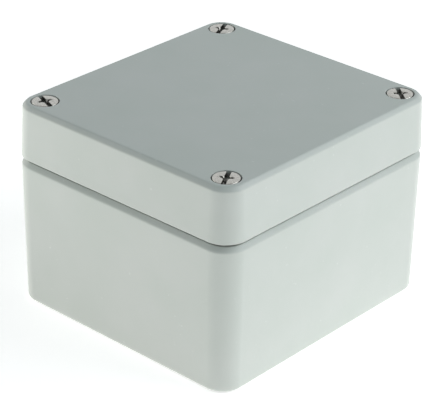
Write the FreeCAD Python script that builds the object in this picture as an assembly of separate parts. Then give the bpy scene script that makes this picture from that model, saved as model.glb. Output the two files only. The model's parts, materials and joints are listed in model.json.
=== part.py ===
import FreeCAD, Part
import math
import os

# Sealed die cast aluminium box, 75 x 80 x 57 mm, closed.
# Two drafted castings meet at a narrow shadow gap. A tongue on the base presses on a gasket in
# the lid's groove. The corner columns stand outside the seal: each has a tapped hole for a
# captive lid screw and, beside it, a deep well for a wall-fixing screw, open once the lid is off.
# Millimetres. X is the width, Y the depth, Z up. The origin is the centre of the underside.

V = FreeCAD.Vector
UP = V(0, 0, 1)

# Overall sizes
WIDTH = 75.0
DEPTH = 80.0
HEIGHT = 57.0
LID_HEIGHT = 14.95
SHADOW_GAP = 1.0
LID_RIM_Z = HEIGHT - LID_HEIGHT
BASE_RIM_Z = LID_RIM_Z - SHADOW_GAP
CORNER_RADIUS = 6.5

# Draft and edges of the two castings
BASE_DRAFT_INSET = 0.55
LID_DRAFT_INSET = 0.55
LID_TOP_FILLET = 1.6
BASE_SHOULDER_CHAMFER = 1.15
BASE_FOOT_CHAMFER = 0.8

# Walls, from the castings' widest outline to the cavity
WALL = 4.3
FLOOR = 4.0
LID_PLATE = 3.5

# Seal: tongue on the base, groove and gasket in the lid
TONGUE_WIDTH = 1.8
TONGUE_HEIGHT = 3.2
TONGUE_CLEARANCE = 0.3
INNER_RIB = 1.8
GASKET_HEIGHT = 2.8
GASKET_CLEARANCE = 0.05
SEAL_COLUMN_RADIUS = 1.4
LID_CAVITY_RADIUS = 1.9
TONGUE_TIP_Z = BASE_RIM_Z + TONGUE_HEIGHT
GROOVE_TOP_Z = TONGUE_TIP_Z + GASKET_HEIGHT

# Lid screws, M4, with a waisted shank and a thread that is free again at the end of its travel
SCREW_INSET = 6.4
THREAD_RADIUS = 2.0
THREAD_PITCH = 0.7
THREAD_TURNS = 10
TAPPED_CLEARANCE = 0.05
TAPPED_SPARE = 3.4
WAIST_RADIUS = 1.6
HEAD_RADIUS = 3.45
HEAD_HEIGHT = 2.9
HEAD_SUNK = 0.1
HEAD_CLEARANCE = 0.35
SHANK_CLEARANCE = 0.25
SCREW_X = WIDTH / 2 - SCREW_INSET
SCREW_Y = DEPTH / 2 - SCREW_INSET
SCREW_TRAVEL = THREAD_PITCH * THREAD_TURNS
SEAT_Z = HEIGHT - HEAD_SUNK - HEAD_HEIGHT
TAPPED_RADIUS = THREAD_RADIUS + TAPPED_CLEARANCE

# Cross recess with a driver slot right across the head
RECESS_RADIUS = 2.2
RECESS_FOOT_RADIUS = 0.55
RECESS_DEPTH = 2.1
RECESS_WING = 0.95
SLOT_WIDTH = 0.9
SLOT_DEPTH = 1.2

# Turn of each screw's slot about its axis, in degrees, as the screws happened to stop
SLOT_TURNS = {
    "front_left": -20.0,
    "front_right": -40.0,
    "rear_right": -43.0,
    "rear_left": -63.0,
}

# Retaining clips, slotted square plates slid on the screws' waists, and their pockets in the lid
CLIP_THICKNESS = 0.8
CLIP_WIDTH = 4.8
CLIP_BORE_CLEARANCE = 0.05
CLIP_POCKET_CLEARANCE = 0.1
CLIP_SEAT_GAP = 0.05
POCKET_STOP_GAP = 0.1
POCKET_WALL = 1.0
POCKET_RADIUS = CLIP_WIDTH / math.sqrt(2) + CLIP_POCKET_CLEARANCE
CLIP_SEAT_Z = LID_RIM_Z + CLIP_SEAT_GAP
CLIP_TOP_Z = CLIP_SEAT_Z + CLIP_THICKNESS
POCKET_TOP_Z = CLIP_TOP_Z + SCREW_TRAVEL + POCKET_STOP_GAP
THREAD_TIP_Z = CLIP_SEAT_Z - SCREW_TRAVEL

# Turn of each clip, in degrees, as they happened to be slid on
CLIP_TURNS = {
    "front_left": 15.0,
    "front_right": 160.0,
    "rear_right": -70.0,
    "rear_left": 105.0,
}

# Wall-fixing wells in the corner columns
FIXING_FROM_SCREW = 8.6
FIXING_INSET = 6.5
FIXING_HOLE_RADIUS = 2.25
WELL_RADIUS = 3.7
WELL_WALL = 1.0
FIXING_X = SCREW_X - FIXING_FROM_SCREW
FIXING_Y = DEPTH / 2 - FIXING_INSET

# The cavity's outline, notched round the corner columns
CAVITY_X = WIDTH / 2 - WALL
CAVITY_Y = DEPTH / 2 - WALL
CAVITY_RADIUS = TONGUE_CLEARANCE + INNER_RIB + LID_CAVITY_RADIUS
COLUMN_X = FIXING_X - WELL_RADIUS - WELL_WALL - TONGUE_WIDTH
COLUMN_Y = min(
    FIXING_Y - WELL_RADIUS - WELL_WALL - TONGUE_WIDTH,
    SCREW_Y - POCKET_RADIUS - POCKET_WALL - TONGUE_CLEARANCE - TONGUE_WIDTH,
)
COLUMN_RADIUS = TONGUE_WIDTH + TONGUE_CLEARANCE + SEAL_COLUMN_RADIUS

# Two rail bosses on the floor
RAIL_FROM_WALL = 9.2
RAIL_BOSS_HEIGHT = 5.0
RAIL_BOSS_RADIUS = 3.0
RAIL_HOLE_RADIUS = 1.25
RAIL_HOLE_DEPTH = 5.5
RAIL_X = CAVITY_X - RAIL_FROM_WALL
RAIL_BOSS_Z = FLOOR + RAIL_BOSS_HEIGHT

# Earth terminal: clamp, spring washer and slotted screw on a boss by the front wall
EARTH_FROM_WALL = 5.2
EARTH_BOSS_HEIGHT = 4.0
EARTH_BOSS_RADIUS = 4.0
EARTH_SCREW_LENGTH = 7.4
EARTH_HOLE_SPARE = 0.5
EARTH_HEAD_RADIUS = 3.5
EARTH_HEAD_HEIGHT = 2.6
CLAMP_THICKNESS = 0.9
CLAMP_WIDTH = 9.0
CLAMP_LIP = 1.3
CLAMP_LIP_GAP = 0.25
CLAMP_BORE_CLEARANCE = 0.25
WASHER_THICKNESS = 1.0
WASHER_RADIUS = 3.4
WASHER_BORE_CLEARANCE = 0.15
WASHER_SLIT = 0.8
WASHER_SLIT_LEAN = 35.0
EARTH_Y = EARTH_FROM_WALL - CAVITY_Y
EARTH_BOSS_Z = FLOOR + EARTH_BOSS_HEIGHT
WASHER_Z = EARTH_BOSS_Z + CLAMP_THICKNESS
EARTH_SEAT_Z = WASHER_Z + WASHER_THICKNESS
EARTH_TIP_Z = EARTH_SEAT_Z - EARTH_SCREW_LENGTH

# Overshoot of cutting tools beyond the faces that they open
OVERCUT = 1.0

CORNERS = {
    "front_left": (-1, -1),
    "front_right": (1, -1),
    "rear_right": (1, 1),
    "rear_left": (-1, 1),
}


# Outlines
def round_corners(corners, z):
    """(centre, start, middle, end) of the arc at each of the (x, y, radius) corners, at height z."""
    arcs = []
    for i, (x, y, radius) in enumerate(corners):
        here = V(x, y, z)
        before = V(corners[i - 1][0], corners[i - 1][1], z)
        after = V(corners[(i + 1) % len(corners)][0], corners[(i + 1) % len(corners)][1], z)
        back = (before - here).normalize()
        ahead = (after - here).normalize()
        half_angle = back.getAngle(ahead) / 2
        reach = radius / math.tan(half_angle)
        centre = here + (back + ahead).normalize() * (radius / math.sin(half_angle))
        middle = centre + (here - centre).normalize() * radius
        arcs.append((centre, here + back * reach, middle, here + ahead * reach))
    return arcs


def outline_face(arcs):
    edges = []
    for i, (_, start, middle, end) in enumerate(arcs):
        edges.append(Part.Arc(start, middle, end).toShape())
        edges.append(Part.LineSegment(end, arcs[(i + 1) % len(arcs)][1]).toShape())
    return Part.Face(Part.Wire(edges))


def box_outline(inset, z):
    """The castings' outer outline, drawn in by inset."""
    half_x = WIDTH / 2 - inset
    half_y = DEPTH / 2 - inset
    radius = CORNER_RADIUS - inset
    signs = ((1, -1), (1, 1), (-1, 1), (-1, -1))
    return round_corners([(sx * half_x, sy * half_y, radius) for sx, sy in signs], z)


def inner_outline(grow, z):
    """The cavity's outline, grown outwards by grow."""
    far_x = CAVITY_X + grow
    far_y = CAVITY_Y + grow
    near_x = COLUMN_X + grow
    near_y = COLUMN_Y + grow
    outward = CAVITY_RADIUS + grow
    inward = COLUMN_RADIUS - grow
    corners = []
    for sx, sy in ((1, 1), (-1, 1), (-1, -1), (1, -1)):
        quarter = [
            (sx * far_x, sy * near_y, outward),
            (sx * near_x, sy * near_y, inward),
            (sx * near_x, sy * far_y, outward),
        ]
        corners += quarter if sx * sy > 0 else quarter[::-1]
    return round_corners(corners, z)


# Solids
def drafted_block(low, high):
    """Solid between two like outlines, with flat sides and conical corners."""
    faces = [outline_face(low), outline_face(high)]
    for i, (centre, start, _, end) in enumerate(low):
        top_start = high[i][1]
        sweep = (start - centre).getAngle(end - centre)
        turn = math.copysign(sweep, (start - centre).cross(end - centre).z)
        side = Part.LineSegment(start, top_start).toShape()
        faces.append(side.revolve(centre, UP, math.degrees(turn)))
        after = (i + 1) % len(low)
        corners = [end, low[after][1], high[after][1], high[i][3], end]
        faces.append(Part.Face(Part.makePolygon(corners)))
    shell = Part.makeShell(faces)
    shell.sewShape()
    if shell.Volume < 0:
        shell.reverse()
    return Part.Solid(shell)


def inner_block(grow, z_low, z_high):
    return outline_face(inner_outline(grow, z_low)).extrude(V(0, 0, z_high - z_low))


def groove_ring(shrink, z_low, z_high):
    """Ring with the lid groove's section, made narrower by shrink on each side."""
    outer = TONGUE_WIDTH + TONGUE_CLEARANCE - shrink
    inner = -TONGUE_CLEARANCE + shrink
    return inner_block(outer, z_low, z_high).cut(inner_block(inner, z_low, z_high))


def cylinder(radius, x, y, z_low, z_high):
    return Part.makeCylinder(radius, z_high - z_low, V(x, y, z_low), UP)


def centred_box(size_x, size_y, z_low, z_high):
    return Part.makeBox(size_x, size_y, z_high - z_low, V(-size_x / 2, -size_y / 2, z_low))


def flat_face(points):
    return Part.Face(Part.makePolygon(points + points[:1]))


def revolved(profile):
    """Full turn of a closed (radius, z) profile about the Z axis."""
    return flat_face([V(radius, 0, z) for radius, z in profile]).revolve(V(0, 0, 0), UP, 360)


def edges_at(shape, z):
    """Edges that lie wholly at height z."""
    level = 0.001
    edges = []
    for edge in shape.Edges:
        box = edge.BoundBox
        if abs(box.ZMin - z) < level and abs(box.ZMax - z) < level:
            edges.append(edge)
    return edges


def four_corners(half_x, half_y):
    return [(sx * half_x, sy * half_y) for sx, sy in CORNERS.values()]


def rail_places():
    return [(-RAIL_X, 0), (RAIL_X, 0)]


# Castings
def make_base():
    body = drafted_block(box_outline(BASE_DRAFT_INSET, 0), box_outline(0, BASE_RIM_Z))
    body = body.makeChamfer(BASE_SHOULDER_CHAMFER, edges_at(body, BASE_RIM_Z))
    body = body.makeChamfer(BASE_FOOT_CHAMFER, edges_at(body, 0))
    body = body.fuse(inner_block(TONGUE_WIDTH, BASE_RIM_Z - OVERCUT, TONGUE_TIP_Z))
    body = body.cut(inner_block(0, FLOOR, TONGUE_TIP_Z + OVERCUT))

    root_z = FLOOR - OVERCUT
    bosses = [cylinder(EARTH_BOSS_RADIUS, 0, EARTH_Y, root_z, EARTH_BOSS_Z)]
    for x, y in rail_places():
        bosses.append(cylinder(RAIL_BOSS_RADIUS, x, y, root_z, RAIL_BOSS_Z))
    body = body.fuse(bosses)

    earth_hole_z = EARTH_TIP_Z - EARTH_HOLE_SPARE
    holes = [cylinder(TAPPED_RADIUS, 0, EARTH_Y, earth_hole_z, EARTH_BOSS_Z + OVERCUT)]
    rail_hole_z = RAIL_BOSS_Z - RAIL_HOLE_DEPTH
    for x, y in rail_places():
        holes.append(cylinder(RAIL_HOLE_RADIUS, x, y, rail_hole_z, RAIL_BOSS_Z + OVERCUT))
    for x, y in four_corners(SCREW_X, SCREW_Y):
        foot_z = THREAD_TIP_Z - TAPPED_SPARE
        holes.append(cylinder(TAPPED_RADIUS, x, y, foot_z, BASE_RIM_Z + OVERCUT))
    for x, y in four_corners(FIXING_X, FIXING_Y):
        holes.append(cylinder(WELL_RADIUS, x, y, FLOOR, BASE_RIM_Z + OVERCUT))
        holes.append(cylinder(FIXING_HOLE_RADIUS, x, y, -OVERCUT, FLOOR + OVERCUT))
    return body.cut(holes).removeSplitter()


def make_lid():
    body = drafted_block(box_outline(0, LID_RIM_Z), box_outline(LID_DRAFT_INSET, HEIGHT))
    body = body.makeFillet(LID_TOP_FILLET, edges_at(body, HEIGHT))

    low_z = LID_RIM_Z - OVERCUT
    cavity = inner_block(-TONGUE_CLEARANCE - INNER_RIB, low_z, HEIGHT - LID_PLATE)
    holes = [cavity, groove_ring(0, low_z, GROOVE_TOP_Z)]
    for x, y in four_corners(SCREW_X, SCREW_Y):
        holes.append(cylinder(POCKET_RADIUS, x, y, low_z, POCKET_TOP_Z))
        holes.append(cylinder(THREAD_RADIUS + SHANK_CLEARANCE, x, y, low_z, HEIGHT))
        holes.append(cylinder(HEAD_RADIUS + HEAD_CLEARANCE, x, y, SEAT_Z, HEIGHT + OVERCUT))
    return body.cut(holes).removeSplitter()


def make_gasket():
    return groove_ring(GASKET_CLEARANCE, TONGUE_TIP_Z, GROOVE_TOP_Z)


# Lid screws and their clips, made on the Z axis and then put in their corners
def recess_wing(z_top):
    """One of the cross recess's two wings, its ends tapering to the foot."""
    flare = (RECESS_RADIUS - RECESS_FOOT_RADIUS) / RECESS_DEPTH
    mouth = RECESS_RADIUS + flare * OVERCUT
    foot_z = z_top - RECESS_DEPTH
    mouth_z = z_top + OVERCUT
    side = -RECESS_WING / 2
    outline = [
        V(-RECESS_FOOT_RADIUS, side, foot_z),
        V(RECESS_FOOT_RADIUS, side, foot_z),
        V(mouth, side, mouth_z),
        V(-mouth, side, mouth_z),
    ]
    return flat_face(outline).extrude(V(0, RECESS_WING, 0))


def driver_slot(head_radius, z_top):
    length = 2 * (head_radius + OVERCUT)
    return centred_box(length, SLOT_WIDTH, z_top - SLOT_DEPTH, z_top + OVERCUT)


def put_in_corner(shape, corner, turn):
    sx, sy = CORNERS[corner]
    shape.rotate(V(0, 0, 0), UP, turn)
    shape.translate(V(sx * SCREW_X, sy * SCREW_Y, 0))
    return shape


def make_lid_screw(corner):
    top_z = SEAT_Z + HEAD_HEIGHT
    outline = [
        (0, top_z),
        (HEAD_RADIUS, top_z),
        (HEAD_RADIUS, SEAT_Z),
        (WAIST_RADIUS, SEAT_Z),
        (WAIST_RADIUS, CLIP_SEAT_Z),
        (THREAD_RADIUS, CLIP_SEAT_Z),
        (THREAD_RADIUS, THREAD_TIP_Z),
        (0, THREAD_TIP_Z),
    ]
    across = recess_wing(top_z)
    across.rotate(V(0, 0, 0), UP, 90)
    recess = [recess_wing(top_z), across, driver_slot(HEAD_RADIUS, top_z)]
    return put_in_corner(revolved(outline).cut(recess), corner, SLOT_TURNS[corner])


def make_clip(corner):
    radius = WAIST_RADIUS + CLIP_BORE_CLEARANCE
    plate = centred_box(CLIP_WIDTH, CLIP_WIDTH, CLIP_SEAT_Z, CLIP_TOP_Z)
    bore = cylinder(radius, 0, 0, CLIP_SEAT_Z, CLIP_TOP_Z)
    slot = Part.makeBox(CLIP_WIDTH, 2 * radius, CLIP_THICKNESS, V(0, -radius, CLIP_SEAT_Z))
    return put_in_corner(plate.cut([bore, slot]), corner, CLIP_TURNS[corner])


# Earth terminal, made on the Z axis and then put on its boss
def put_on_earth_boss(shape):
    shape.translate(V(0, EARTH_Y, 0))
    return shape


def make_earth_clamp():
    """Wire clamp whose two turned-down lips straddle the boss and keep it from turning."""
    lip_inside = EARTH_BOSS_RADIUS + CLAMP_LIP_GAP
    length = 2 * (lip_inside + CLAMP_THICKNESS)
    low_z = EARTH_BOSS_Z - CLAMP_LIP
    plate = centred_box(length, CLAMP_WIDTH, low_z, WASHER_Z)
    between = centred_box(2 * lip_inside, CLAMP_WIDTH + OVERCUT, low_z, EARTH_BOSS_Z)
    bore = cylinder(THREAD_RADIUS + CLAMP_BORE_CLEARANCE, 0, 0, low_z, WASHER_Z)
    return put_on_earth_boss(plate.cut([between, bore]))


def make_earth_washer():
    """Spring washer, split by a leaning slit on its +X side."""
    bore = cylinder(THREAD_RADIUS + WASHER_BORE_CLEARANCE, 0, 0, WASHER_Z, EARTH_SEAT_Z)
    reach = 2 * WASHER_RADIUS
    slit = Part.makeBox(reach, WASHER_SLIT, 2 * reach, V(0, -WASHER_SLIT / 2, -reach))
    slit.rotate(V(0, 0, 0), V(1, 0, 0), WASHER_SLIT_LEAN)
    slit.translate(V(0, 0, WASHER_Z + WASHER_THICKNESS / 2))
    ring = cylinder(WASHER_RADIUS, 0, 0, WASHER_Z, EARTH_SEAT_Z)
    return put_on_earth_boss(ring.cut([bore, slit]))


def make_earth_screw():
    top_z = EARTH_SEAT_Z + EARTH_HEAD_HEIGHT
    head = cylinder(EARTH_HEAD_RADIUS, 0, 0, EARTH_SEAT_Z, top_z)
    shank = cylinder(THREAD_RADIUS, 0, 0, EARTH_TIP_Z, EARTH_SEAT_Z)
    return put_on_earth_boss(head.fuse(shank).cut(driver_slot(EARTH_HEAD_RADIUS, top_z)))


def build():
    parts = {
        "base_casting": make_base(),
        "lid_casting": make_lid(),
        "lid_gasket": make_gasket(),
        "earth_clamp": make_earth_clamp(),
        "earth_spring_washer": make_earth_washer(),
        "earth_screw": make_earth_screw(),
    }
    for corner in CORNERS:
        parts["lid_screw_" + corner] = make_lid_screw(corner)
        parts["screw_clip_" + corner] = make_clip(corner)
    return parts


os.makedirs("parts", exist_ok=True)
for name, shape in build().items():
    shape.exportStep("parts/" + name + ".step")
    print(name, len(shape.Solids), shape.isValid(), round(shape.Volume, 1), shape.BoundBox)
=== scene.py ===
import json
import math

import bmesh
import bpy
from mathutils import Matrix, Vector
from mathutils.geometry import delaunay_2d_cdt


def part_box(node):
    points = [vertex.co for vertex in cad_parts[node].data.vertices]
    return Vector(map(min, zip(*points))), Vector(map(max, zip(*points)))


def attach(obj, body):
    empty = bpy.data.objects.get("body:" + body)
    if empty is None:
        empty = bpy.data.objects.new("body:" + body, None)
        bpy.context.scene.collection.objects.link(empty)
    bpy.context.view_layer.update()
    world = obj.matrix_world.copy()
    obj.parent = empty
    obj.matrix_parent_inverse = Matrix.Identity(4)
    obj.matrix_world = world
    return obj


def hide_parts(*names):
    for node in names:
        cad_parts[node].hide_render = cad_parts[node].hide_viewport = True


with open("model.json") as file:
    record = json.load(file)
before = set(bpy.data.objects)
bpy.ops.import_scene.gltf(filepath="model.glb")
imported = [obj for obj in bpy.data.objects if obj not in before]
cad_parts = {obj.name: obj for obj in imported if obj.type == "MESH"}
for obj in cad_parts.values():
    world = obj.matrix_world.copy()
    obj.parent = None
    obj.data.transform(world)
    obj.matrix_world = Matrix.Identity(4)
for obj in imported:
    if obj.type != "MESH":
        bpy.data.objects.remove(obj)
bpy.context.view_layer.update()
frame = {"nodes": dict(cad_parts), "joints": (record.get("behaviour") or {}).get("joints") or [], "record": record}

# Looks of a sealed die cast aluminium box, 75 x 80 x 57 mm, on a pale floor.
# Sizes are in millimetres and are turned into metres when a mesh is made.
MM = 0.001


# What the frame says
def in_mm(metres):
    """The lengths in millimetres, to the micrometre."""
    return [round(length / MM, 3) for length in metres]


def lowest(node):
    """Lowest corner of the node's solid."""
    return in_mm(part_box(node)[0])


def highest(node):
    """Highest corner of the node's solid."""
    return in_mm(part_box(node)[1])


def axis_of(name):
    """A point on the named joint's axis."""
    return next(in_mm(joint["pos_m"]) for joint in frame["joints"] if joint["name"] == name)


def mount(name):
    """The named mount of the record."""
    return next(item for item in frame["record"]["mounts"] if item["name"] == name)


# Castings, as the solids have them. The draft and the chamfers go inward from the widest outline.
HALF_X, HALF_Y, HEIGHT = highest("lid_casting")
LID_RIM_Z = lowest("lid_casting")[2]
SHADOW_GAP = 1.0
BASE_RIM_Z = LID_RIM_Z - SHADOW_GAP
CORNER_RADIUS = 6.5
DRAFT_INSET = 0.55
LID_TOP_CHAMFER = 1.05
SHOULDER_CHAMFER = 1.15
WALL = 4.3
FLOOR_Z = 4.0
LID_PLATE = 3.5
CEILING_Z = HEIGHT - LID_PLATE

# Lid screws, with a waisted shank
SCREW_X, SCREW_Y, _ = axis_of("screw_turn_rear_right")
HEAD_RADIUS = 3.45
HEAD_HEIGHT = 3.0
HEAD_TOP_Z = HEIGHT
SEAT_Z = HEAD_TOP_Z - HEAD_HEIGHT
WAIST_RADIUS = 1.6
SHOULDER_Z = lowest("screw_clip_rear_right")[2]
THREAD_TIP_Z = lowest("lid_screw_rear_right")[2]
THREAD_RADIUS = 2.0
THREAD_PITCH = in_mm([math.tau / frame["record"]["behaviour"]["couplings"][0]["ratio"]])[0]
THREAD_DEPTH = 0.4
THREAD_TURNS = 10
SCREW_TRAVEL = THREAD_PITCH * THREAD_TURNS

# Their holes: counterbore, shank hole and clip pocket in the lid, and tapped hole in the base
COUNTERBORE_RADIUS = HEAD_RADIUS + 0.35
SHANK_HOLE_RADIUS = THREAD_RADIUS + 0.25
CLIP_WIDTH = 4.8
POCKET_RADIUS = round(CLIP_WIDTH / math.sqrt(2) + 0.1, 3)
POCKET_TOP_Z = highest("screw_clip_rear_right")[2] + SCREW_TRAVEL + 0.1
TAPPED_RADIUS = THREAD_RADIUS + 0.05
TAPPED_SPARE = 3.4
TAPPED_FOOT_Z = THREAD_TIP_Z - TAPPED_SPARE
# How far down the counterbore the powder coat reaches, below which the casting is bare; the darker bare skin there
# adds painted shade round the heads
COAT_DEPTH = 0.8

# Wells of the wall-fixing screws in the corner columns
FIXING_X = mount("wall_fixing")["dims"]["spacing_x_mm"] / 2
FIXING_Y = mount("wall_fixing")["dims"]["spacing_y_mm"] / 2
FIXING_HOLE_RADIUS = mount("wall_fixing")["dims"]["hole_r_mm"]
WELL_RADIUS = 3.7
WELL_WALL = 1.0

# Seal: tongue, groove and the lid's cavity, as distances outward from the base's cavity
TONGUE_WIDTH = 1.8
TONGUE_CLEARANCE = 0.3
INNER_RIB = 1.8
TONGUE_TIP_Z = highest("base_casting")[2]
GROOVE_TOP_Z = highest("lid_gasket")[2]
GROOVE_OUT = TONGUE_WIDTH + TONGUE_CLEARANCE
GROOVE_IN = -TONGUE_CLEARANCE
LID_CAVITY = GROOVE_IN - INNER_RIB

# The base's cavity, notched round the corner columns
LID_CAVITY_RADIUS = 1.9
SEAL_COLUMN_RADIUS = 1.4
CAVITY_X = HALF_X - WALL
CAVITY_Y = HALF_Y - WALL
CAVITY_RADIUS = LID_CAVITY_RADIUS - LID_CAVITY
COLUMN_X = FIXING_X - WELL_RADIUS - WELL_WALL - TONGUE_WIDTH
COLUMN_Y = FIXING_Y - WELL_RADIUS - WELL_WALL - TONGUE_WIDTH
COLUMN_RADIUS = GROOVE_OUT + SEAL_COLUMN_RADIUS

# Earth screw
EARTH_Y = axis_of("earth_turn")[1]
EARTH_SEAT_Z = highest("earth_spring_washer")[2]
EARTH_TIP_Z = lowest("earth_screw")[2]
EARTH_HEAD_TOP_Z = highest("earth_screw")[2]
EARTH_HEAD_RADIUS = 3.5
EARTH_SLOT_TURN = 28.0
EARTH_NECK_RADIUS = THREAD_RADIUS - 0.05
EARTH_NECK_LENGTH = 0.7
EARTH_NECK_Z = EARTH_SEAT_Z - EARTH_NECK_LENGTH

# Bosses on the floor
RAIL_X = mount("rail_bosses")["dims"]["spacing_x_mm"] / 2
RAIL_BOSS_RADIUS = 3.0
RAIL_BOSS_Z = in_mm(mount("rail_bosses")["pos_m"])[2]
RAIL_HOLE_RADIUS = mount("rail_bosses")["dims"]["hole_r_mm"]
RAIL_HOLE_DEPTH = 5.5
RAIL_HOLE_Z = RAIL_BOSS_Z - RAIL_HOLE_DEPTH
EARTH_BOSS_RADIUS = 4.0
EARTH_BOSS_HEIGHT = 4.0
EARTH_BOSS_Z = FLOOR_Z + EARTH_BOSS_HEIGHT
EARTH_HOLE_SPARE = 0.5
EARTH_HOLE_Z = EARTH_TIP_Z - EARTH_HOLE_SPARE
# Height of the drill's cone at the foot of a blind hole
DRILL_CONE = 0.5

# Edges of the castings, as radii, fillets and chamfers
FOOT_ROUND = 1.3
CHAMFER_LOW_ROUND = 0.9
SHOULDER_TOP_ROUND = 0.3
LID_TOP_ROUND = 1.0
RIM_ROUND = 0.22
LIP_CHAMFER = 0.07
SEAL_ROUND = 0.3
GROOVE_ROUND = 0.2
GROOVE_CHAMFER = 0.15
FLOOR_FILLET = 0.8
CEILING_FILLET = 1.0
WELL_CHAMFER = 0.25
WELL_FILLET = 0.4
HOLE_CHAMFER = 0.15
FIXING_FOOT_CHAMFER = 0.3
SHANK_HOLE_CHAMFER = 0.1
TAPPED_CHAMFER = 0.3
RAIL_BOSS_FILLET = 0.8
RAIL_BOSS_ROUND = 0.3
EARTH_BOSS_FILLET = 0.25
EARTH_BOSS_ROUND = 0.2

# Where the flat faces start, as a distance inward or outward from the edge beside them
FOOT_FLAT = 3.0
BASE_RIM_FLAT = 1.5
LID_RIM_FLAT = 0.6
FLOOR_FLAT = FLOOR_FILLET + 0.05
CEILING_FLAT = CEILING_FILLET + 0.3
RAIL_BOSS_SPREAD = 0.9
EARTH_BOSS_SPREAD = 0.3
EARTH_BOSS_FLAT = 0.6

# Drive of the screws: the slot, and the cross recess of wings and a round flare
SLOT_WIDTH = 1.2
SLOT_DEPTH = 1.2
SLOT_TAPER = 0.06
SLOT_OVERRUN = 1.5
RECESS_DEPTH = 2.1
WING_FOOT_REACH = 0.62
WING_FOOT_HALF = 0.26
WING_MOUTH_REACH = 2.45
WING_MOUTH_HALF = 0.50
FLARE_DEPTH = RECESS_DEPTH + 0.15
FLARE_FOOT_RADIUS = 0.30
FLARE_MOUTH_RADIUS = 1.32
# Radius of a bar's ends, as a share of its half width
BAR_END_ROUND = 0.95
# How far a cutter stands above the head that it cuts, and the rounding that it leaves
CUT_ABOVE = 0.5
CARVED_ROUND = 0.05

# Form of the heads and of the threads' ends
SAG_FROM = 0.6
SEAT_ROUND = 0.12
WAIST_SPREAD = 0.5
WAIST_FILLET = 0.2
TIP_CHAMFER = 0.3
# The head and the threaded end are two closed bodies, and each reaches this far into the other
OVERLAP = 0.02
EARTH_OVERLAP = 0.05
# Turns over which the thread rises to its full depth, then its flanks' slope and its run-out
LEAD_TURNS = 0.8
FLANK_SLOPE = 1.25
RUN_OUT_START = 0.5
RUN_OUT_LENGTH = 0.3
RUN_OUT_SHARE = 0.95
# Depth of the tapped holes' thread, as a share of the screws'
TAPPED_SHARE = 0.6

# Steps of the curves
CORNER_STEPS = 14
SEAL_STEPS = 8
EDGE_STEPS = 5
WALL_EDGE_STEPS = 8
HEAD_EDGE_STEPS = 4
CIRCLE_STEPS = 72
HEAD_STEPS = 96
FLARE_STEPS = 24
BAR_END_STEPS = 3
THREAD_COLUMNS = 32
THREAD_ROWS = 8
TAPPED_ROWS = 4

# Distances under which points meet, and angles in degrees from which an edge is shaded sharp
WELD_DISTANCE = 2e-4
SLIVER_LENGTH = 1e-5
PLATE_TOLERANCE = 1e-7
CASTING_SHARP = 32.0
SCREW_SHARP = 38.0

CORNERS = {
    "front_left": (-1, -1),
    "front_right": (1, -1),
    "rear_right": (1, 1),
    "rear_left": (-1, 1),
}
# Turn of each screw's slot, in degrees, read off the photograph
SLOT_TURNS = {
    "front_left": -20.0,
    "front_right": -60.0,
    "rear_right": -40.0,
    "rear_left": -66.0,
}
# Signs of x and y at the four corners, in order round the axis
AROUND = ((1, -1), (1, 1), (-1, 1), (-1, -1))


# Outlines and profiles
def arc(centre, start, sweep, steps):
    """Points on the turn of start about centre through sweep radians."""
    ray = Vector(start) - Vector(centre)
    points = []
    for k in range(steps + 1):
        angle = sweep * k / steps
        turned = Vector(
            (
                ray.x * math.cos(angle) - ray.y * math.sin(angle),
                ray.x * math.sin(angle) + ray.y * math.cos(angle),
            )
        )
        points.append(tuple(Vector(centre) + turned))
    return points


def fillet(before, here, after, radius, steps):
    """Points of the arc that rounds the corner here between its neighbours."""
    here = Vector(here)
    back = (Vector(before) - here).normalized()
    ahead = (Vector(after) - here).normalized()
    half = back.angle(ahead) / 2
    centre = here + (back + ahead).normalized() * (radius / math.sin(half))
    start = here + back * (radius / math.tan(half))
    turn = math.copysign(math.pi - 2 * half, ahead.x * back.y - ahead.y * back.x)
    return arc(centre, start, turn, steps)


def outline(corners, steps):
    """Closed outline through the (x, y, radius) corners."""
    points = []
    for i, (x, y, radius) in enumerate(corners):
        before = corners[i - 1][:2]
        after = corners[(i + 1) % len(corners)][:2]
        points += fillet(before, (x, y), after, radius, steps)
    return points


def profile(*corners, steps=EDGE_STEPS):
    """Open line through (offset, z) or (offset, z, radius) corners."""
    points = []
    for i, corner in enumerate(corners):
        if len(corner) == 2:
            points.append(corner)
        else:
            points += fillet(corners[i - 1][:2], corner[:2], corners[i + 1][:2], corner[2], steps)
    return points


def box_outline(grow):
    """The castings' widest outline, grown outward."""
    half_x = HALF_X + grow
    half_y = HALF_Y + grow
    corners = [(sx * half_x, sy * half_y, CORNER_RADIUS + grow) for sx, sy in AROUND]
    return outline(corners, CORNER_STEPS)


def seal_outline(grow):
    """The cavity's outline with its four notches, grown outward."""
    corners = []
    for sx, sy in ((1, 1), (-1, 1), (-1, -1), (1, -1)):
        quarter = [
            (sx * (CAVITY_X + grow), sy * (COLUMN_Y + grow), CAVITY_RADIUS + grow),
            (sx * (COLUMN_X + grow), sy * (COLUMN_Y + grow), COLUMN_RADIUS - grow),
            (sx * (COLUMN_X + grow), sy * (CAVITY_Y + grow), CAVITY_RADIUS + grow),
        ]
        corners += quarter if sx * sy > 0 else quarter[::-1]
    return outline(corners, SEAL_STEPS)


def circle_at(x, y, steps=CIRCLE_STEPS):
    """Outline family of circles about x, y, by radius."""

    def points(radius):
        turns = [math.tau * k / steps for k in range(steps)]
        return [(x + radius * math.cos(a), y + radius * math.sin(a)) for a in turns]

    return points


def inside(point, loop):
    """True if the point lies in the closed loop."""
    x, y = point
    odd = False
    for (ax, ay), (bx, by) in zip(loop, loop[1:] + loop[:1]):
        if (ay > y) != (by > y) and x < ax + (y - ay) * (bx - ax) / (by - ay):
            odd = not odd
    return odd


# Meshes. A casting's first material is its coated outside and its second one its bare inside, whose dark tint is
# partly painted shade.
OUTSIDE = 0
INSIDE = 1


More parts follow.
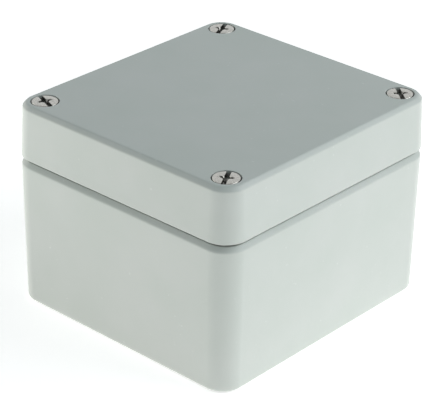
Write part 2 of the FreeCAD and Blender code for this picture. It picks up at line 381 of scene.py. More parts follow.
class Skin:
    """A closed surface put together from swept profiles and flat plates, in millimetres."""

    def __init__(self):
        self.mesh = bmesh.new()

    def ring(self, points, z):
        return [self.mesh.verts.new((x, y, z)) for x, y in points]

    def sweep(self, family, line, material):
        """The line of (offset, z) points carried round the outline family."""
        rings = [self.ring(family(offset), z) for offset, z in line]
        for low, high in zip(rings, rings[1:]):
            for i in range(len(low)):
                corners = (low[i - 1], low[i], high[i], high[i - 1])
                self.mesh.faces.new(corners).material_index = material

    def plate(self, z, outer, holes, material):
        """Flat face at height z within outer and round the holes."""
        loops = [outer, *holes]
        points = [Vector(p) for loop in loops for p in loop]
        edges = []
        start = 0
        for loop in loops:
            count = len(loop)
            edges += [(start + i, start + (i + 1) % count) for i in range(count)]
            start += count
        flat, _, triangles, *_ = delaunay_2d_cdt(points, edges, [], 0, PLATE_TOLERANCE)
        verts = [self.mesh.verts.new((p.x, p.y, z)) for p in flat]
        for triangle in triangles:
            middle = sum((flat[i] for i in triangle), Vector((0, 0))) / 3
            if inside(middle, outer) and not any(inside(middle, hole) for hole in holes):
                self.mesh.faces.new([verts[i] for i in triangle]).material_index = material

    def thread(self, x, y, z_low, z_high, radius_at, material, rows):
        """Helical surface between two heights, with so many rows to a turn along the thread."""
        columns = THREAD_COLUMNS
        turns = math.ceil((z_high - z_low) / THREAD_PITCH) + 1
        grid = []
        for i in range(columns):
            angle = math.tau * i / columns
            column = []
            for j in range(-rows, turns * rows + 1):
                z = z_low + THREAD_PITCH * (j / rows + i / columns)
                z = min(max(z, z_low), z_high)
                phase = (z - z_low) / THREAD_PITCH - i / columns
                radius = radius_at(z, phase - math.floor(phase))
                place = (x + radius * math.cos(angle), y + radius * math.sin(angle), z)
                column.append(self.mesh.verts.new(place))
            grid.append(column)
        for i in range(columns):
            after = grid[i + 1] if i + 1 < columns else None
            for j in range(len(grid[i]) - 1):
                if after:
                    corners = (grid[i][j], after[j], after[j + 1], grid[i][j + 1])
                elif j + rows + 1 < len(grid[0]):
                    corners = (grid[i][j], grid[0][j + rows], grid[0][j + rows + 1], grid[i][j + 1])
                else:
                    continue
                self.mesh.faces.new(corners).material_index = material

    def piece(self, name, materials):
        """The welded surface as an object in metres."""
        bmesh.ops.remove_doubles(self.mesh, verts=self.mesh.verts, dist=WELD_DISTANCE)
        bmesh.ops.dissolve_degenerate(self.mesh, dist=SLIVER_LENGTH, edges=self.mesh.edges)
        bmesh.ops.recalc_face_normals(self.mesh, faces=self.mesh.faces)
        self.mesh.transform(Matrix.Scale(MM, 4))
        mesh = bpy.data.meshes.new(name)
        self.mesh.to_mesh(mesh)
        self.mesh.free()
        return add_object(name, mesh, materials, CASTING_SHARP)


def weld(mesh):
    """Joins the vertices that meet and turns the faces outward."""
    bmesh.ops.remove_doubles(mesh, verts=mesh.verts, dist=WELD_DISTANCE)
    bmesh.ops.recalc_face_normals(mesh, faces=mesh.faces)


def add_object(name, mesh, materials, sharp):
    """The mesh as an object, shaded smooth up to the sharp angle in degrees."""
    for material in materials:
        mesh.materials.append(material)
    mesh.shade_smooth()
    mesh.set_sharp_from_angle(angle=math.radians(sharp))
    piece = bpy.data.objects.new(name, mesh)
    bpy.context.scene.collection.objects.link(piece)
    weight_normals(piece)
    return piece


def weight_normals(piece):
    normals = piece.modifiers.new("Flat faces stay flat", "WEIGHTED_NORMAL")
    normals.keep_sharp = True
    normals.weight = 80


def round_edges(piece, width):
    rounding = piece.modifiers.new("Rounded edges", "BEVEL")
    rounding.width = width
    rounding.segments = 2
    rounding.limit_method = "ANGLE"
    rounding.angle_limit = math.radians(40)


# Materials, with lengths in metres
def new_material(name):
    material = bpy.data.materials.new(name)
    material.use_nodes = True
    nodes = material.node_tree.nodes
    return material, nodes, material.node_tree.links, nodes["Principled BSDF"]


def noise(nodes, links, coordinates, scale, detail, roughness=0.5):
    node = nodes.new("ShaderNodeTexNoise")
    node.inputs["Scale"].default_value = scale
    node.inputs["Detail"].default_value = detail
    node.inputs["Roughness"].default_value = roughness
    links.new(coordinates.outputs["Object"], node.inputs["Vector"])
    return node


def ramp(nodes, links, source, stops):
    """Colour ramp over the source's value, between two (position, colour) stops."""
    node = nodes.new("ShaderNodeValToRGB")
    for element, (position, colour) in zip(node.color_ramp.elements, stops):
        element.position = position
        element.color = (*colour, 1.0)
    links.new(source, node.inputs["Fac"])
    return node


def tint_and_dull(nodes, links, shader, marks, tints, dulls):
    """Base colour and roughness that follow the marks, each between two (position, value) stops."""
    tint = ramp(nodes, links, marks.outputs["Fac"], tints)
    links.new(tint.outputs["Color"], shader.inputs["Base Color"])
    greys = [(position, (value, value, value)) for position, value in dulls]
    dull = ramp(nodes, links, marks.outputs["Fac"], greys)
    links.new(dull.outputs["Color"], shader.inputs["Roughness"])


def add_bump(nodes, links, shader, height, strength, distance, below=None):
    """Bump on the shader, on top of the bump below if there is one."""
    node = nodes.new("ShaderNodeBump")
    node.inputs["Strength"].default_value = strength
    node.inputs["Distance"].default_value = distance
    links.new(height.outputs["Fac"], node.inputs["Height"])
    if below:
        links.new(below.outputs["Normal"], node.inputs["Normal"])
    links.new(node.outputs["Normal"], shader.inputs["Normal"])
    return node


def powder_coat():
    """Pale grey satin powder coat, with a fine orange peel and a few specks."""
    material, nodes, links, shader = new_material("powder_coat")
    place = nodes.new("ShaderNodeTexCoord")
    shader.inputs["Roughness"].default_value = 0.42
    shader.inputs["Specular IOR Level"].default_value = 0.45

    clouds = noise(nodes, links, place, scale=60.0, detail=3.0)
    tints = [(0.3, (0.545, 0.600, 0.568)), (0.7, (0.575, 0.620, 0.596))]
    tint = ramp(nodes, links, clouds.outputs["Fac"], tints)
    specks = noise(nodes, links, place, scale=900.0, detail=1.0)
    no_speck = (0.0, 0.0, 0.0)
    full_speck = (0.45, 0.45, 0.45)
    speck_mask = ramp(nodes, links, specks.outputs["Fac"], [(0.76, no_speck), (0.80, full_speck)])
    mix = nodes.new("ShaderNodeMix")
    mix.data_type = "RGBA"
    links.new(speck_mask.outputs["Color"], mix.inputs["Factor"])
    links.new(tint.outputs["Color"], mix.inputs["A"])
    mix.inputs["B"].default_value = (0.72, 0.76, 0.74, 1.0)
    links.new(mix.outputs["Result"], shader.inputs["Base Color"])

    peel = noise(nodes, links, place, scale=1500.0, detail=2.0)
    coarse = noise(nodes, links, place, scale=420.0, detail=2.0)
    broad = add_bump(nodes, links, shader, coarse, strength=0.25, distance=0.0001)
    add_bump(nodes, links, shader, peel, strength=0.2, distance=0.00005, below=broad)
    return material


def cast_skin_and_painted_shade():
    """Bare cast skin inside the castings, with a dark tint that also paints shade into the shadow gap between lid
    and base.
    """
    material, nodes, links, shader = new_material("cast_skin_and_painted_shade")
    place = nodes.new("ShaderNodeTexCoord")
    shader.inputs["Metallic"].default_value = 0.9
    clouds = noise(nodes, links, place, scale=130.0, detail=5.0, roughness=0.6)
    # The dark tint is partly painted shade: it darkens the shadow gap and the counterbores.
    tints = [(0.3, (0.36, 0.36, 0.355)), (0.7, (0.50, 0.50, 0.49))]
    tint_and_dull(nodes, links, shader, clouds, tints, dulls=[(0.3, 0.62), (0.7, 0.46)])
    grain = noise(nodes, links, place, scale=1400.0, detail=3.0)
    add_bump(nodes, links, shader, grain, strength=0.3, distance=0.00006)
    return material


def bright_steel(name, shade):
    """Polished stainless steel with fine turned marks, its colour multiplied by the shade; a shade below 1 paints
    shade into a darker copy.
    """
    material, nodes, links, shader = new_material(name)
    place = nodes.new("ShaderNodeTexCoord")
    shader.inputs["Metallic"].default_value = 1.0
    marks = noise(nodes, links, place, scale=2500.0, detail=4.0, roughness=0.7)
    dark = [shade * level for level in (0.36, 0.36, 0.34)]
    light = [shade * level for level in (0.51, 0.51, 0.48)]
    tints = [(0.35, dark), (0.65, light)]
    tint_and_dull(nodes, links, shader, marks, tints, dulls=[(0.3, 0.16), (0.7, 0.30)])
    add_bump(nodes, links, shader, marks, strength=0.25, distance=0.00002)
    return material


def yellow_brass():
    """Turned brass of the earth terminal."""
    material, nodes, links, shader = new_material("yellow_brass")
    place = nodes.new("ShaderNodeTexCoord")
    shader.inputs["Metallic"].default_value = 1.0
    marks = noise(nodes, links, place, scale=900.0, detail=4.0, roughness=0.65)
    tints = [(0.3, (0.60, 0.43, 0.18)), (0.7, (0.78, 0.60, 0.30))]
    tint_and_dull(nodes, links, shader, marks, tints, dulls=[(0.3, 0.24), (0.7, 0.38)])
    add_bump(nodes, links, shader, marks, strength=0.2, distance=0.00003)
    return material


def gasket_rubber():
    """Black rubber with a faint bloom."""
    material, nodes, links, shader = new_material("gasket_rubber")
    place = nodes.new("ShaderNodeTexCoord")
    bloom = noise(nodes, links, place, scale=700.0, detail=4.0, roughness=0.6)
    tints = [(0.3, (0.018, 0.018, 0.018)), (0.7, (0.045, 0.045, 0.043))]
    tint_and_dull(nodes, links, shader, bloom, tints, dulls=[(0.3, 0.62), (0.7, 0.80)])
    add_bump(nodes, links, shader, bloom, strength=0.3, distance=0.00005)
    return material


COAT = powder_coat()
CAST_AND_SHADE = cast_skin_and_painted_shade()
STEEL = bright_steel("bright_steel", shade=1.0)
# Painted shade: steel of the slot's and the recess's faces, darkened because they see little light
SHADED_STEEL = bright_steel("painted_shade_steel", shade=0.45)
BRASS = yellow_brass()
RUBBER = gasket_rubber()


# Base casting
def tapped_wall(z_low, z_high):
    """Radius of a tapped hole's wall by height and phase, plain near both ends."""

    def radius_at(z, phase):
        fade = min(1.0, (z - z_low) / THREAD_PITCH, (z_high - z) / THREAD_PITCH)
        groove = 1 - abs(2 * phase - 1)
        return TAPPED_RADIUS + TAPPED_SHARE * THREAD_DEPTH * groove * max(fade, 0.0)

    return radius_at


def tapped_hole(skin, x, y, z_foot, z_mouth, chamfer):
    """Blind tapped hole. Returns its outline at the mouth."""
    family = circle_at(x, y, THREAD_COLUMNS)
    top = z_mouth - chamfer
    skin.sweep(family, [(TAPPED_RADIUS + chamfer, z_mouth), (TAPPED_RADIUS, top)], INSIDE)
    skin.thread(x, y, z_foot, top, tapped_wall(z_foot, top), INSIDE, TAPPED_ROWS)
    skin.sweep(family, [(TAPPED_RADIUS, z_foot), (0.0, z_foot - DRILL_CONE)], INSIDE)
    return family(TAPPED_RADIUS + chamfer)


def base_outside(skin):
    """Rounded foot, drafted walls and chamfered shoulder."""
    line = profile(
        (-FOOT_FLAT, 0.0),
        (-DRAFT_INSET, 0.0, FOOT_ROUND),
        (0.0, BASE_RIM_Z - SHOULDER_CHAMFER, CHAMFER_LOW_ROUND),
        (-SHOULDER_CHAMFER, BASE_RIM_Z, SHOULDER_TOP_ROUND),
        (-BASE_RIM_FLAT, BASE_RIM_Z),
        steps=WALL_EDGE_STEPS,
    )
    skin.sweep(box_outline, line, OUTSIDE)


def tongue_and_cavity(skin):
    """Seal tongue on the rim, and the cavity's walls down to the floor."""
    outer = profile(
        (TONGUE_WIDTH, BASE_RIM_Z),
        (TONGUE_WIDTH, TONGUE_TIP_Z, SEAL_ROUND),
        (TONGUE_WIDTH / 2, TONGUE_TIP_Z),
    )
    inner = profile(
        (TONGUE_WIDTH / 2, TONGUE_TIP_Z),
        (0.0, TONGUE_TIP_Z, SEAL_ROUND),
        (0.0, FLOOR_Z, FLOOR_FILLET),
        (-FLOOR_FLAT, FLOOR_Z),
    )
    skin.sweep(seal_outline, outer, INSIDE)
    skin.sweep(seal_outline, inner, INSIDE)


def fixing_well(skin, x, y):
    """Well and hole of a wall-fixing screw. Returns its outlines in the rim and in the foot."""
    line = profile(
        (WELL_RADIUS + WELL_CHAMFER, BASE_RIM_Z),
        (WELL_RADIUS, BASE_RIM_Z - WELL_CHAMFER),
        (WELL_RADIUS, FLOOR_Z, WELL_FILLET),
        (FIXING_HOLE_RADIUS + HOLE_CHAMFER, FLOOR_Z),
        (FIXING_HOLE_RADIUS, FLOOR_Z - HOLE_CHAMFER),
        (FIXING_HOLE_RADIUS, FIXING_FOOT_CHAMFER),
        (FIXING_HOLE_RADIUS + FIXING_FOOT_CHAMFER, 0.0),
    )
    family = circle_at(x, y)
    skin.sweep(family, line, INSIDE)
    return family(WELL_RADIUS + WELL_CHAMFER), family(FIXING_HOLE_RADIUS + FIXING_FOOT_CHAMFER)


def rail_boss(skin, x):
    """Boss with a plain blind hole. Returns its outline in the floor."""
    line = profile(
        (RAIL_BOSS_RADIUS + RAIL_BOSS_SPREAD, FLOOR_Z),
        (RAIL_BOSS_RADIUS, FLOOR_Z, RAIL_BOSS_FILLET),
        (RAIL_BOSS_RADIUS, RAIL_BOSS_Z, RAIL_BOSS_ROUND),
        (RAIL_HOLE_RADIUS + TAPPED_CHAMFER, RAIL_BOSS_Z),
        (RAIL_HOLE_RADIUS, RAIL_BOSS_Z - TAPPED_CHAMFER),
        (RAIL_HOLE_RADIUS, RAIL_HOLE_Z),
        (0.0, RAIL_HOLE_Z - DRILL_CONE),
    )
    family = circle_at(x, 0.0)
    skin.sweep(family, line, INSIDE)
    return family(RAIL_BOSS_RADIUS + RAIL_BOSS_SPREAD)


def earth_boss(skin):
    """Boss with the earth screw's tapped hole. Returns its outline in the floor."""
    top_edge = EARTH_BOSS_RADIUS - EARTH_BOSS_FLAT
    line = profile(
        (EARTH_BOSS_RADIUS + EARTH_BOSS_SPREAD, FLOOR_Z),
        (EARTH_BOSS_RADIUS, FLOOR_Z, EARTH_BOSS_FILLET),
        (EARTH_BOSS_RADIUS, EARTH_BOSS_Z, EARTH_BOSS_ROUND),
        (top_edge, EARTH_BOSS_Z),
    )
    family = circle_at(0.0, EARTH_Y)
    skin.sweep(family, line, INSIDE)
    mouth = tapped_hole(skin, 0.0, EARTH_Y, EARTH_HOLE_Z, EARTH_BOSS_Z, EARTH_BOSS_ROUND)
    skin.plate(EARTH_BOSS_Z, family(top_edge), [mouth], INSIDE)
    return family(EARTH_BOSS_RADIUS + EARTH_BOSS_SPREAD)


def make_base():
    """The base casting with its wells, tapped holes and bosses."""
    skin = Skin()
    base_outside(skin)
    tongue_and_cavity(skin)
    rim_holes = [seal_outline(TONGUE_WIDTH)]
    foot_holes = []
    for sx, sy in CORNERS.values():
        well_mouth, foot_hole = fixing_well(skin, sx * FIXING_X, sy * FIXING_Y)
        screw_x, screw_y = sx * SCREW_X, sy * SCREW_Y
        tapped_mouth = tapped_hole(skin, screw_x, screw_y, TAPPED_FOOT_Z, BASE_RIM_Z, TAPPED_CHAMFER)
        rim_holes += [well_mouth, tapped_mouth]
        foot_holes.append(foot_hole)
    skin.plate(BASE_RIM_Z, box_outline(-BASE_RIM_FLAT), rim_holes, INSIDE)
    skin.plate(0.0, box_outline(-FOOT_FLAT), foot_holes, OUTSIDE)
    floor_holes = [rail_boss(skin, -RAIL_X), rail_boss(skin, RAIL_X), earth_boss(skin)]
    skin.plate(FLOOR_Z, seal_outline(-FLOOR_FLAT), floor_holes, INSIDE)

    base = skin.piece("base_finished", [COAT, CAST_AND_SHADE])
    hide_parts("base_casting")
    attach(base, "base")


# Lid casting
def lid_outside(skin):
    """Drafted walls and the soft chamfer round the top. Returns the top face's offset."""
    line = profile(
        (-LID_RIM_FLAT, LID_RIM_Z),
        (0.0, LID_RIM_Z, RIM_ROUND),
        (-DRAFT_INSET, HEIGHT - LID_TOP_CHAMFER, CHAMFER_LOW_ROUND),
        (-DRAFT_INSET - LID_TOP_CHAMFER, HEIGHT, LID_TOP_ROUND),
        (-HALF_X, HEIGHT),
        steps=WALL_EDGE_STEPS,
    )
    # The last point only gives the rounding its direction: the top face starts where it ends
    line.pop()
    skin.sweep(box_outline, line, OUTSIDE)
    return line[-1][0]


def groove_and_ceiling(skin):
    """Seal groove, the lid's cavity and its ceiling. Returns the groove's outline in the rim."""
    ceiling_edge = LID_CAVITY - CEILING_FLAT
    line = profile(
        (GROOVE_OUT + GROOVE_CHAMFER, LID_RIM_Z),
        (GROOVE_OUT, LID_RIM_Z + GROOVE_CHAMFER),
        (GROOVE_OUT, GROOVE_TOP_Z, GROOVE_ROUND),
        (GROOVE_IN, GROOVE_TOP_Z, GROOVE_ROUND),
        (GROOVE_IN, LID_RIM_Z, SEAL_ROUND),
        (LID_CAVITY, LID_RIM_Z, SEAL_ROUND),
        (LID_CAVITY, CEILING_Z, CEILING_FILLET),
        (ceiling_edge, CEILING_Z),
    )
    skin.sweep(seal_outline, line, INSIDE)
    skin.plate(CEILING_Z, seal_outline(ceiling_edge), [], INSIDE)
    return seal_outline(GROOVE_OUT + GROOVE_CHAMFER)


def screw_passage(skin, x, y):
    """Counterbore, shank hole and pocket of a lid screw. Returns its outlines in the top and the rim."""
    wall = COUNTERBORE_RADIUS - LIP_CHAMFER / 2
    # Below the coat the darker bare skin paints shade into the gap round the head.
    coat_end = HEIGHT - COAT_DEPTH
    coated = [(wall + LIP_CHAMFER, HEIGHT), (wall, HEIGHT - LIP_CHAMFER), (wall, coat_end)]
    bare = [
        (wall, coat_end),
        (wall, SEAT_Z),
        (SHANK_HOLE_RADIUS + SHANK_HOLE_CHAMFER, SEAT_Z),
        (SHANK_HOLE_RADIUS, SEAT_Z - SHANK_HOLE_CHAMFER),
        (SHANK_HOLE_RADIUS, POCKET_TOP_Z),
        (POCKET_RADIUS, POCKET_TOP_Z),
        (POCKET_RADIUS, LID_RIM_Z + GROOVE_CHAMFER),
        (POCKET_RADIUS + GROOVE_CHAMFER, LID_RIM_Z),
    ]
    family = circle_at(x, y)
    skin.sweep(family, coated, OUTSIDE)
    skin.sweep(family, bare, INSIDE)
    return family(wall + LIP_CHAMFER), family(POCKET_RADIUS + GROOVE_CHAMFER)


def make_lid():
    """The lid casting with its seal groove and the screws' passages."""
    skin = Skin()
    top_offset = lid_outside(skin)
    rim_holes = [groove_and_ceiling(skin)]
    top_holes = []
    for sx, sy in CORNERS.values():
        top_hole, rim_hole = screw_passage(skin, sx * SCREW_X, sy * SCREW_Y)
        top_holes.append(top_hole)
        rim_holes.append(rim_hole)
    skin.plate(HEIGHT, box_outline(top_offset), top_holes, OUTSIDE)
    skin.plate(LID_RIM_Z, box_outline(-LID_RIM_FLAT), rim_holes, INSIDE)

    lid = skin.piece("lid_finished", [COAT, CAST_AND_SHADE])
    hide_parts("lid_casting")
    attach(lid, "lid")


# Screws. A screw's first material is its turned surface and its second one the drive's faces, in steel darkened as
# painted shade.
TURNED = 0
DRIVE = 1


def screw_thread(z_low, z_high):
    """Radius of a screw's thread by height and phase: it starts at the tip and runs out above."""

    def radius_at(z, phase):
        lead = min(1.0, (z - z_low) / (LEAD_TURNS * THREAD_PITCH))
        ridge = (1 - abs(2 * phase - 1)) * FLANK_SLOPE - (FLANK_SLOPE - 1) / 2
        ridge = min(max(ridge, 0.0), 1.0) * lead
        above = min(1.0, max(0.0, (z - z_high + RUN_OUT_START) / RUN_OUT_LENGTH))
        share = ridge * (1 - above) + RUN_OUT_SHARE * above
        return THREAD_RADIUS - THREAD_DEPTH * (1 - share)

    return radius_at


def temporary(name, mesh):
    """The mesh as an object to carve or to carve with, with both materials of a screw."""
    weld(mesh)
    data = bpy.data.meshes.new(name)
    mesh.to_mesh(data)
    mesh.free()
    data.materials.append(STEEL)
    data.materials.append(SHADED_STEEL)
    piece = bpy.data.objects.new(name, data)
    bpy.context.scene.collection.objects.link(piece)
    return piece


def cutter(name, sections):
    """Closed body through the sections, each a height and a loop of points."""
    mesh = bmesh.new()
    rings = [[mesh.verts.new((x, y, z)) for x, y in loop] for z, loop in sections]
    for low, high in zip(rings, rings[1:]):
        for i in range(len(low)):
            mesh.faces.new((low[i - 1], low[i], high[i], high[i - 1]))
    mesh.faces.new(rings[0])
    mesh.faces.new(rings[-1])
    for face in mesh.faces:
        face.material_index = DRIVE
    return temporary(name, mesh)


def bar(reach, half, turn):
    """Loop of a bar with rounded ends, turned about the axis."""
    corners = [(sx * reach, sy * half, half * BAR_END_ROUND) for sx, sy in AROUND]
    cos = math.cos(turn)
    sin = math.sin(turn)
    return [(x * cos - y * sin, x * sin + y * cos) for x, y in outline(corners, BAR_END_STEPS)]


def cross_cutters(z_top):
    """Two crossing wings that taper to the foot, and the round flare where they meet."""
    z_mouth = z_top + CUT_ABOVE
    cutters = []
    for turn in (0.0, math.pi / 2):
        foot = (z_top - RECESS_DEPTH, bar(WING_FOOT_REACH, WING_FOOT_HALF, turn))
        mouth = (z_mouth, bar(WING_MOUTH_REACH, WING_MOUTH_HALF, turn))
        cutters.append(cutter("wing", [foot, mouth]))
    family = circle_at(0.0, 0.0, FLARE_STEPS)
    foot = (z_top - FLARE_DEPTH, family(FLARE_FOOT_RADIUS))
    mouth = (z_mouth, family(FLARE_MOUTH_RADIUS))
    cutters.append(cutter("flare", [foot, mouth]))
    return cutters


def slot_cutter(z_top, head_radius):
    """Slot right across the head, a little wider at its mouth."""
    reach = head_radius + SLOT_OVERRUN
    foot = (z_top - SLOT_DEPTH, bar(reach, SLOT_WIDTH * (1 - SLOT_TAPER) / 2, 0.0))
    mouth = (z_top + CUT_ABOVE, bar(reach, SLOT_WIDTH * (1 + SLOT_TAPER) / 2, 0.0))
    return cutter("slot", [foot, mouth])


def carved(line, cutters):
    """Mesh of the turned line with the cutters taken out of it and its edges rounded."""
    skin = Skin()
    skin.sweep(circle_at(0.0, 0.0, HEAD_STEPS), line, TURNED)
    body = temporary("blank", skin.mesh)
    for tool in cutters:
        cut = body.modifiers.new("Cut", "BOOLEAN")
        cut.operation = "DIFFERENCE"
        cut.solver = "EXACT"
        cut.object = tool
    round_edges(body, CARVED_ROUND)
    seen = body.evaluated_get(bpy.context.evaluated_depsgraph_get())
    mesh = bpy.data.meshes.new_from_object(seen)
    for piece in (body, *cutters):
        bpy.data.objects.remove(piece)
    return mesh


def threaded(head, z_tip, z_shoulder, neck):
    """The carved head's mesh joined to a threaded end, in millimetres about the axis."""
    skin = Skin()
    family = circle_at(0.0, 0.0, THREAD_COLUMNS)
    root = THREAD_RADIUS - THREAD_DEPTH
    crown = THREAD_RADIUS - THREAD_DEPTH * (1 - RUN_OUT_SHARE)
    z_start = z_tip + TIP_CHAMFER
    z_end = z_shoulder + OVERLAP
    skin.sweep(family, [(0.0, z_tip), (root - TIP_CHAMFER, z_tip), (root, z_start)], TURNED)
    flanks = screw_thread(z_start, z_shoulder)
    skin.thread(0.0, 0.0, z_start, z_shoulder, flanks, TURNED, THREAD_ROWS)
    skin.sweep(family, [(crown, z_shoulder), (neck, z_end), (0.0, z_end)], TURNED)
    weld(skin.mesh)
    skin.mesh.from_mesh(head)
    bpy.data.meshes.remove(head)
    return skin.mesh


def cheese_head(z_top, z_seat, rim, sag_inside, sag_at_rim, rounding):
    """Top and side of a slightly domed head, as corners of a profile."""
    return [
        (0.0, z_top),
        (rim * SAG_FROM, z_top - sag_inside),
        (rim, z_top - sag_at_rim, rounding),
        (rim, z_seat, SEAT_ROUND),
    ]


def lid_screw_form():
    """Cheese head with a cross recess and a slot to the rim, waist and thread."""
    line = profile(
        *cheese_head(HEAD_TOP_Z, SEAT_Z, HEAD_RADIUS, sag_inside=0.01, sag_at_rim=0.05, rounding=0.2),
        (WAIST_RADIUS + WAIST_SPREAD, SEAT_Z),
        (WAIST_RADIUS, SEAT_Z, WAIST_FILLET),
        (WAIST_RADIUS, SHOULDER_Z - OVERLAP),
        (0.0, SHOULDER_Z - OVERLAP),
        steps=HEAD_EDGE_STEPS,
    )
    drive = [slot_cutter(HEAD_TOP_Z, HEAD_RADIUS), *cross_cutters(HEAD_TOP_Z)]
    return threaded(carved(line, drive), THREAD_TIP_Z, SHOULDER_Z, WAIST_RADIUS)


def earth_screw_form():
    """Cheese head with a slot, and a thread right up to the clamp."""
    top, seat, rim = EARTH_HEAD_TOP_Z, EARTH_SEAT_Z, EARTH_HEAD_RADIUS
    line = profile(
        *cheese_head(top, seat, rim, sag_inside=0.05, sag_at_rim=0.2, rounding=0.35),
        (EARTH_NECK_RADIUS, EARTH_SEAT_Z),
        (EARTH_NECK_RADIUS, EARTH_NECK_Z),
        (0.0, EARTH_NECK_Z),
        steps=HEAD_EDGE_STEPS,
    )
    head = carved(line, [slot_cutter(EARTH_HEAD_TOP_Z, EARTH_HEAD_RADIUS)])
    return threaded(head, EARTH_TIP_Z, EARTH_NECK_Z + EARTH_OVERLAP, EARTH_NECK_RADIUS)


def place_screw(name, form, x, y, turn, materials, body, node, slot):
    """A copy of the form on its axis, turned as it stopped."""
    mesh = bpy.data.meshes.new(name)
    copy = form.copy()
    copy.transform(Matrix.Translation((x, y, 0)) @ Matrix.Rotation(math.radians(turn), 4, "Z"))
    copy.transform(Matrix.Scale(MM, 4))
    copy.to_mesh(mesh)
    copy.free()
    screw = add_object(name, mesh, materials, SCREW_SHARP)
    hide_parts(node)
    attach(screw, body)


def make_screws():
    form = lid_screw_form()
    for corner, (sx, sy) in CORNERS.items():
        place = (sx * SCREW_X, sy * SCREW_Y, SLOT_TURNS[corner])
        names = ("screw_" + corner, "lid_screw_" + corner, "steel")
        place_screw("screw_finished_" + corner, form, *place, (STEEL, SHADED_STEEL), *names)
    form.free()
    form = earth_screw_form()
    names = ("earth_screw_body", "earth_screw", "brass")
    place_screw("earth_screw_finished", form, 0.0, EARTH_Y, EARTH_SLOT_TURN, (BRASS, BRASS), *names)
    form.free()


# Small pieces that keep the solids' own shapes
def finish_node(name, material, edge):
    """The node's own solid in its material, with rounded edges."""
    node = frame["nodes"][name]
    node.data.materials.clear()
    node.data.materials.append(material)
    round_edges(node, edge * MM)
    weight_normals(node)


def finish_small_pieces():
    finish_node("lid_gasket", RUBBER, edge=0.25)
    for corner in CORNERS:
        finish_node("screw_clip_" + corner, STEEL, edge=0.1)
    finish_node("earth_clamp", BRASS, edge=0.12)
    finish_node("earth_spring_washer", STEEL, edge=0.1)


# Stage, in metres
AZIMUTH = math.radians(41.591)
FLOOR_HALF = 3.0
FLOOR_DROP = 0.0002
FLOOR_LIFT = 0.60
WHITE = (1.0, 1.0, 1.0)
FILL_COLOUR = (0.86, 0.96, 1.0)
FILL_LEVEL = 0.285
# Height of a direction, 0 level and 1 straight up, where the ceiling's dimness starts and is full
CEILING_FROM = 0.60
CEILING_TO = 0.85
CEILING_LEVEL = 0.5
LAMP_DISTANCE = 0.7
LAMP_AIM_Z = 0.03
TABLE_MIDDLE = 0.12
TABLE_EDGE = 0.40


def seen_or_mirrored(nodes, links):
    """1 for the camera's own rays and for those mirrored or let through on the way, else 0."""
    path = nodes.new("ShaderNodeLightPath")
    mirrored = nodes.new("ShaderNodeMath")
    mirrored.operation = "MAXIMUM"
    links.new(path.outputs["Is Glossy Ray"], mirrored.inputs[0])
    links.new(path.outputs["Is Transmission Ray"], mirrored.inputs[1])
    either = nodes.new("ShaderNodeMath")
    either.operation = "MAXIMUM"
    links.new(path.outputs["Is Camera Ray"], either.inputs[0])
    links.new(mirrored.outputs[0], either.inputs[1])
    return either.outputs[0]


def pale_floor():
    """Matt white that is lifted to white for the camera and in reflections, and keeps its shadows."""
    material, nodes, links, shader = new_material("pale_floor")
    shader.inputs["Base Color"].default_value = (0.9, 0.9, 0.9, 1.0)
    shader.inputs["Roughness"].default_value = 0.9
    shader.inputs["Specular IOR Level"].default_value = 0.1
    lift = nodes.new("ShaderNodeMath")
    lift.operation = "MULTIPLY"
    lift.inputs[1].default_value = FLOOR_LIFT
    links.new(seen_or_mirrored(nodes, links), lift.inputs[0])
    shader.inputs["Emission Color"].default_value = (*WHITE, 1.0)
    links.new(lift.outputs[0], shader.inputs["Emission Strength"])
    return material


def make_floor():
    mesh = bpy.data.meshes.new("floor")
    corners = [(sx * FLOOR_HALF, sy * FLOOR_HALF, -FLOOR_DROP) for sx, sy in AROUND]
    mesh.from_pydata(corners, [], [(0, 1, 2, 3)])
    mesh.materials.append(pale_floor())
    floor = bpy.data.objects.new("floor", mesh)
    bpy.context.scene.collection.objects.link(floor)


def make_world():
    """White to the camera, white with a dim ceiling in reflections, and else a faint fill."""
    world = bpy.data.worlds.new("studio")
    bpy.context.scene.world = world
    world.use_nodes = True
    nodes = world.node_tree.nodes
    links = world.node_tree.links
    fill = nodes["Background"]
    fill.inputs["Color"].default_value = (*FILL_COLOUR, 1.0)
    fill.inputs["Strength"].default_value = FILL_LEVEL
    white = nodes.new("ShaderNodeBackground")
    white.inputs["Strength"].default_value = 1.0
    direction = nodes.new("ShaderNodeTexCoord")
    parts = nodes.new("ShaderNodeSeparateXYZ")
    links.new(direction.outputs["Generated"], parts.inputs["Vector"])
    stops = [(CEILING_FROM, WHITE), (CEILING_TO, (CEILING_LEVEL,) * 3)]
    sky = ramp(nodes, links, parts.outputs["Z"], stops)
    path = nodes.new("ShaderNodeLightPath")
    seen = nodes.new("ShaderNodeMix")
    seen.data_type = "RGBA"
    seen.inputs["B"].default_value = (*WHITE, 1.0)
    links.new(path.outputs["Is Camera Ray"], seen.inputs["Factor"])
    links.new(sky.outputs["Color"], seen.inputs["A"])
    links.new(seen.outputs["Result"], white.inputs["Color"])
    blend = nodes.new("ShaderNodeMixShader")
    links.new(seen_or_mirrored(nodes, links), blend.inputs["Fac"])
    links.new(fill.outputs["Background"], blend.inputs[1])
    links.new(white.outputs["Background"], blend.inputs[2])
    links.new(blend.outputs["Shader"], nodes["World Output"].inputs["Surface"])


def add_lamp(name, width, depth, energy, colour):
    """Rectangular lamp that the camera doesn't see."""
    data = bpy.data.lights.new(name, "AREA")
    data.shape = "RECTANGLE"
    data.size = width
    data.size_y = depth
    data.energy = energy
    data.color = colour
    lamp = bpy.data.objects.new(name, data)
    lamp.rotation_mode = "QUATERNION"
    lamp.visible_camera = False
    bpy.context.scene.collection.objects.link(lamp)
    return lamp


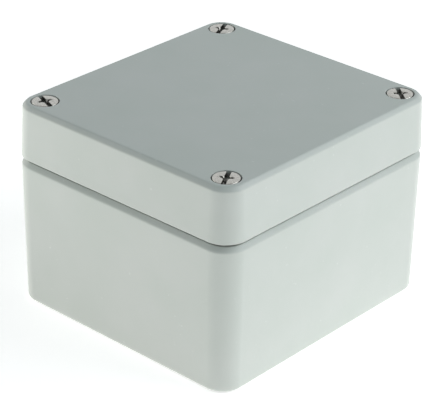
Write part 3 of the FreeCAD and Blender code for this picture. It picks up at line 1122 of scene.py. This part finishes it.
def area_lamp(name, direction, size, level, colour):
    """Square lamp that looks at the box. It lights a white face turned to it to the level."""
    ray = Vector(direction).normalized()
    lamp = add_lamp(name, size, size, level * math.pi**2 * LAMP_DISTANCE**2, colour)
    lamp.location = Vector((0, 0, LAMP_AIM_Z)) + ray * LAMP_DISTANCE
    lamp.rotation_quaternion = (-ray).to_track_quat("-Z", "Y")


def table_lamp(name, right, level, colour):
    """Softbox lying on the floor with its light upwards, between two distances to the right of the
    box as the camera stands. It is as bright as a white face at the level."""
    across = Vector((math.cos(AZIMUTH), math.sin(AZIMUTH), 0.0))
    ahead = Vector((-math.sin(AZIMUTH), math.cos(AZIMUTH), 0.0))
    width = right[1] - right[0]
    depth = 2 * TABLE_EDGE
    lamp = add_lamp(name, width, depth, level * math.pi * width * depth, colour)
    lamp.location = across * sum(right) / 2 - Vector((0, 0, FLOOR_DROP / 2))
    turn = Matrix((across, -ahead, Vector((0, 0, -1)))).transposed()
    lamp.rotation_quaternion = turn.to_quaternion()


def make_lamps():
    """The walls get most of their light from the softboxes, as on a light table."""
    area_lamp("rear_lamp", (0.7, 0.5, 0.6), size=0.5, level=0.49, colour=(0.97, 0.99, 1.0))
    area_lamp("left_lamp", (-0.92, -0.35, 0.12), size=0.45, level=0.35, colour=(1.0, 0.93, 0.86))
    table_lamp("near_table", (-TABLE_MIDDLE, TABLE_MIDDLE), level=0.80, colour=(1.0, 0.94, 0.89))
    table_lamp("left_table", (-TABLE_EDGE, -TABLE_MIDDLE), level=1.50, colour=(1.0, 0.98, 0.92))
    table_lamp("right_table", (TABLE_MIDDLE, TABLE_EDGE), level=0.69, colour=(1.0, 0.92, 0.86))


# Camera, fitted to the photograph, with its lengths in millimetres
ELEVATION = math.radians(27.723)
ROLL = math.radians(1.099)
CAMERA_DISTANCE = 517.618
TARGET_Z = 28.0
SHIFT_RIGHT = 0.055
SHIFT_UP = -2.873
FOCAL_PIXELS = 1963.42
IMAGE_WIDTH_PIXELS = 444
SENSOR_WIDTH = 36.0


def make_camera():
    """Looks at a point on the box's axis, but for two small shifts in the picture's plane."""
    back = Vector(
        (
            math.sin(AZIMUTH) * math.cos(ELEVATION),
            -math.cos(AZIMUTH) * math.cos(ELEVATION),
            math.sin(ELEVATION),
        )
    )
    right = Vector((math.cos(AZIMUTH), math.sin(AZIMUTH), 0.0))
    up = back.cross(right)
    across = right * math.cos(ROLL) + up * math.sin(ROLL)
    upward = up * math.cos(ROLL) - right * math.sin(ROLL)
    place = Vector((0, 0, TARGET_Z)) + back * CAMERA_DISTANCE + right * SHIFT_RIGHT + up * SHIFT_UP
    data = bpy.data.cameras.new("camera")
    data.sensor_width = SENSOR_WIDTH
    data.lens = FOCAL_PIXELS * SENSOR_WIDTH / IMAGE_WIDTH_PIXELS
    camera = bpy.data.objects.new("camera", data)
    turn = Matrix((across, upward, back)).transposed()
    camera.matrix_world = Matrix.LocRotScale(place * MM, turn.to_quaternion(), None)
    bpy.context.scene.collection.objects.link(camera)
    bpy.context.scene.camera = camera


make_base()
make_lid()
make_screws()
finish_small_pieces()
make_camera()
make_floor()
make_world()
make_lamps()

bpy.context.scene.view_settings.view_transform = "Standard"
